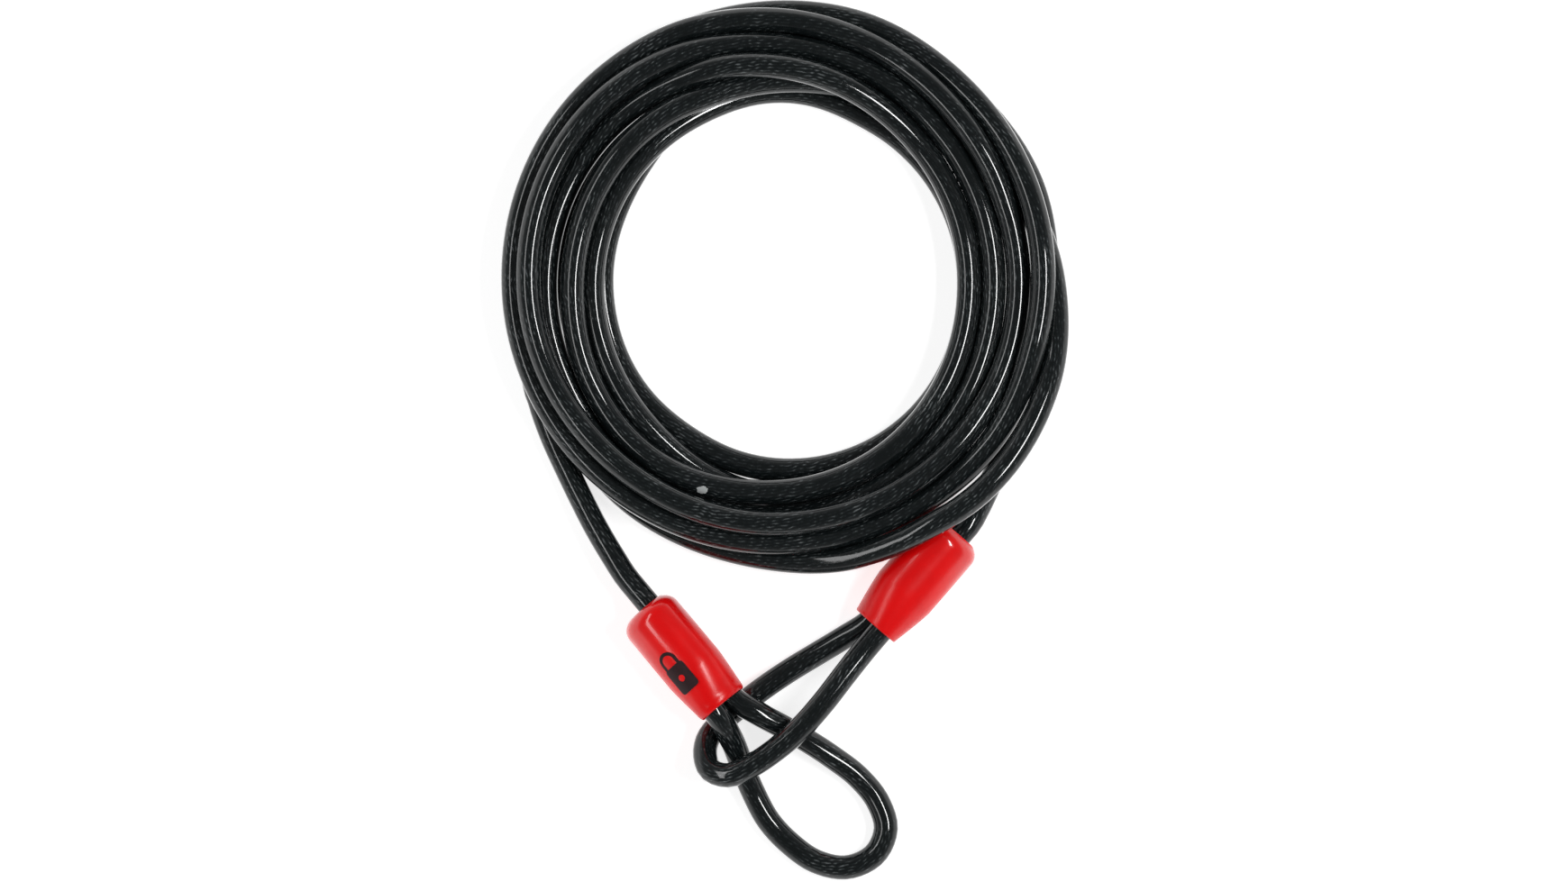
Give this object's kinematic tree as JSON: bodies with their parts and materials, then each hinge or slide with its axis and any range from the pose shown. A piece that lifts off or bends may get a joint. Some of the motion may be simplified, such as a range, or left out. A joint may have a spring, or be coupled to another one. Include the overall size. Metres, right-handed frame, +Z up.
{
  "type": "cable lock",
  "caption": "Coiled locking cable in a glossy sheath, with an eye at each end held by a pressed ferrule under a rounded vinyl cover.",
  "frame": {"origin": "middle of the underside of the whole object as it lies on a surface", "axes": "+Z is up, along the coil's own axis. +Y runs from the two eyes towards the coil. +X is to the right, seen from above with the coil at the far end."},
  "size_m": [0.229, 0.3548, 0.0305],
  "materials": {
    "black_sheath": "gloss",
    "red_vinyl": "gloss",
    "steel_rope": "stranded",
    "ferrule_metal": "pressed"
  },
  "bodies": {
    "cable": {"coil": "black_sheath", "leg_a_sheath": "black_sheath", "leg_a_rope": "steel_rope", "leg_b_sheath": "black_sheath", "leg_b_rope": "steel_rope", "eye_a_sheath": "black_sheath", "eye_a_rope": "steel_rope", "eye_b_sheath": "black_sheath", "eye_b_rope": "steel_rope", "ferrule_a": "ferrule_metal", "ferrule_b": "ferrule_metal", "standing_core_a": "steel_rope", "standing_strands_a": "steel_rope", "tail_core_a": "steel_rope", "tail_strands_a": "steel_rope", "standing_core_b": "steel_rope", "standing_strands_b": "steel_rope", "tail_core_b": "steel_rope", "tail_strands_b": "steel_rope"},
    "cover_a_body": {"cover_a": "red_vinyl"},
    "cover_b_body": {"cover_b": "red_vinyl"}
  },
  "joints": [
    {"name": "cover_a_slide", "type": "slide", "parent": "cable", "child": "cover_a_body", "axis": [-0.6407, 0.7636, -0.0802], "range_m": [0, 0.012]},
    {"name": "cover_b_slide", "type": "slide", "parent": "cable", "child": "cover_b_body", "axis": [0.6561, 0.7547, 0], "range_m": [0, 0.004]}
  ]
}
